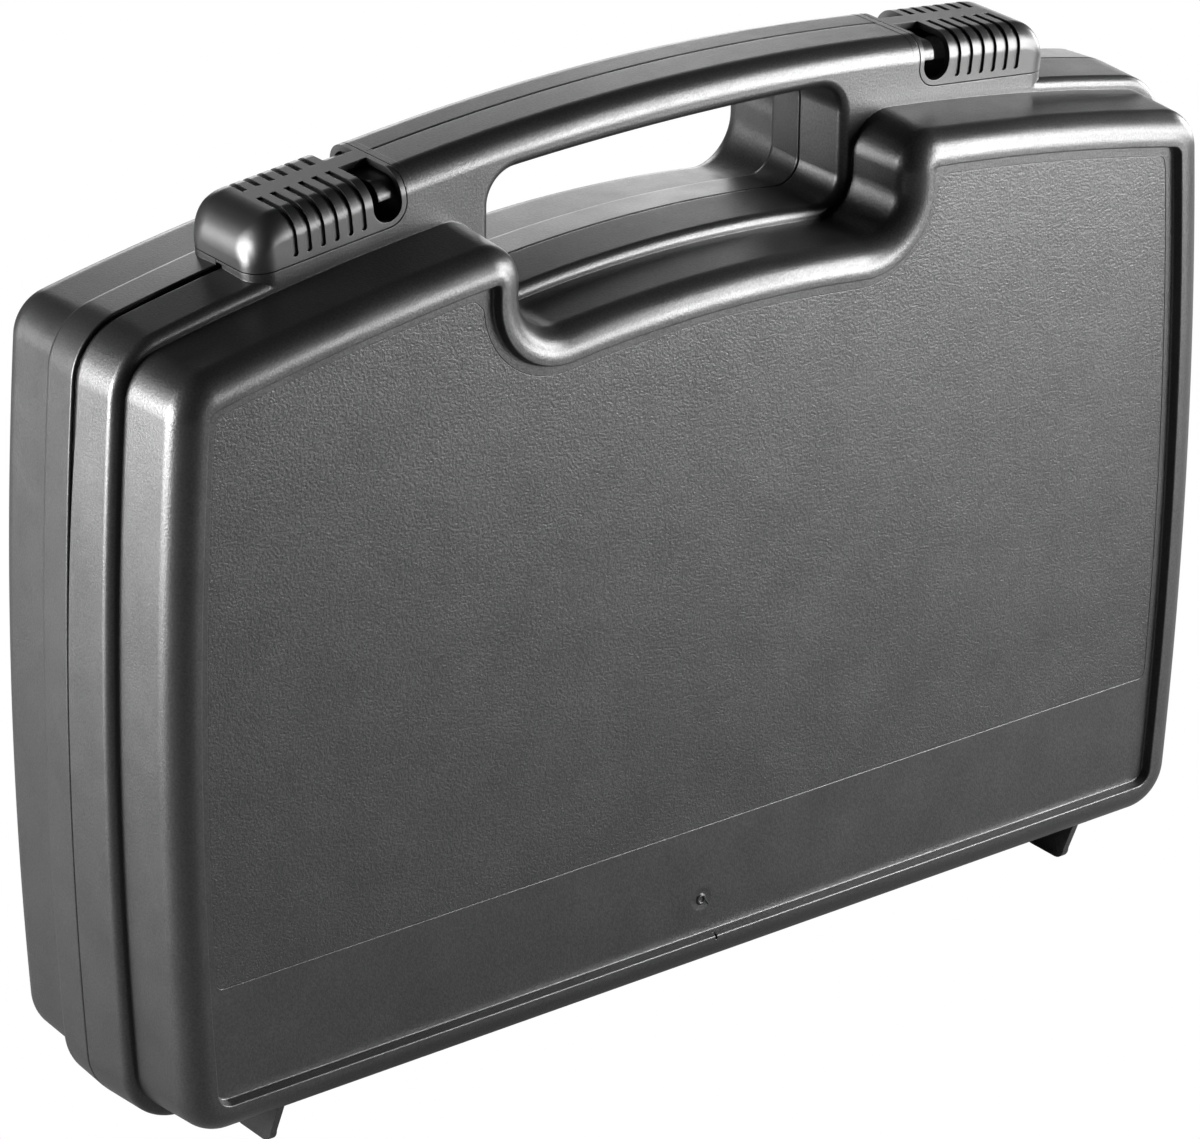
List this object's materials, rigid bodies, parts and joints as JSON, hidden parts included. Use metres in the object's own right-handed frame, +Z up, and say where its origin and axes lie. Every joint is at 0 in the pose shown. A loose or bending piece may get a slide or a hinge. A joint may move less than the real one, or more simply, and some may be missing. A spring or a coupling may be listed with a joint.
{
  "type": "microphone case",
  "caption": "Upright moulded plastic case with a carrying handle formed by both shells, sliding latches on top, a bottom hinge and cut foam inside.",
  "frame": {"origin": "middle of the bounding box on the plane that the feet stand on", "axes": "+X to the right along the width, +Y to the back (the lid faces -Y), +Z up; the case stands on its feet"},
  "size_m": [0.43, 0.0972, 0.3145],
  "materials": {
    "shell": "fine moulded grain, satin charcoal",
    "latch": "smooth satin moulded plastic, near black",
    "pin": "drawn steel",
    "foam": "open-cell charcoal foam"
  },
  "bodies": {
    "base": {"rear_shell": "shell", "hinge_pin_left": "pin", "hinge_pin_right": "pin", "base_foam": "foam", "base_pad": "foam"},
    "lid": {"front_shell": "shell", "lid_foam": "foam"},
    "latch_left": {"latch_left": "latch"},
    "latch_right": {"latch_right": "latch"}
  },
  "joints": [
    {"name": "lid_hinge", "type": "hinge", "parent": "base", "child": "lid", "pos_m": [0, 0, 0.005], "axis": [1, 0, 0], "range_deg": [0, 180]},
    {"name": "latch_left_slide", "type": "slide", "parent": "base", "child": "latch_left", "axis": [-0.9943, 0, -0.1062], "range_m": [0, 0.01]},
    {"name": "latch_right_slide", "type": "slide", "parent": "base", "child": "latch_right", "axis": [0.9943, 0, -0.1062], "range_m": [0, 0.01]}
  ]
}
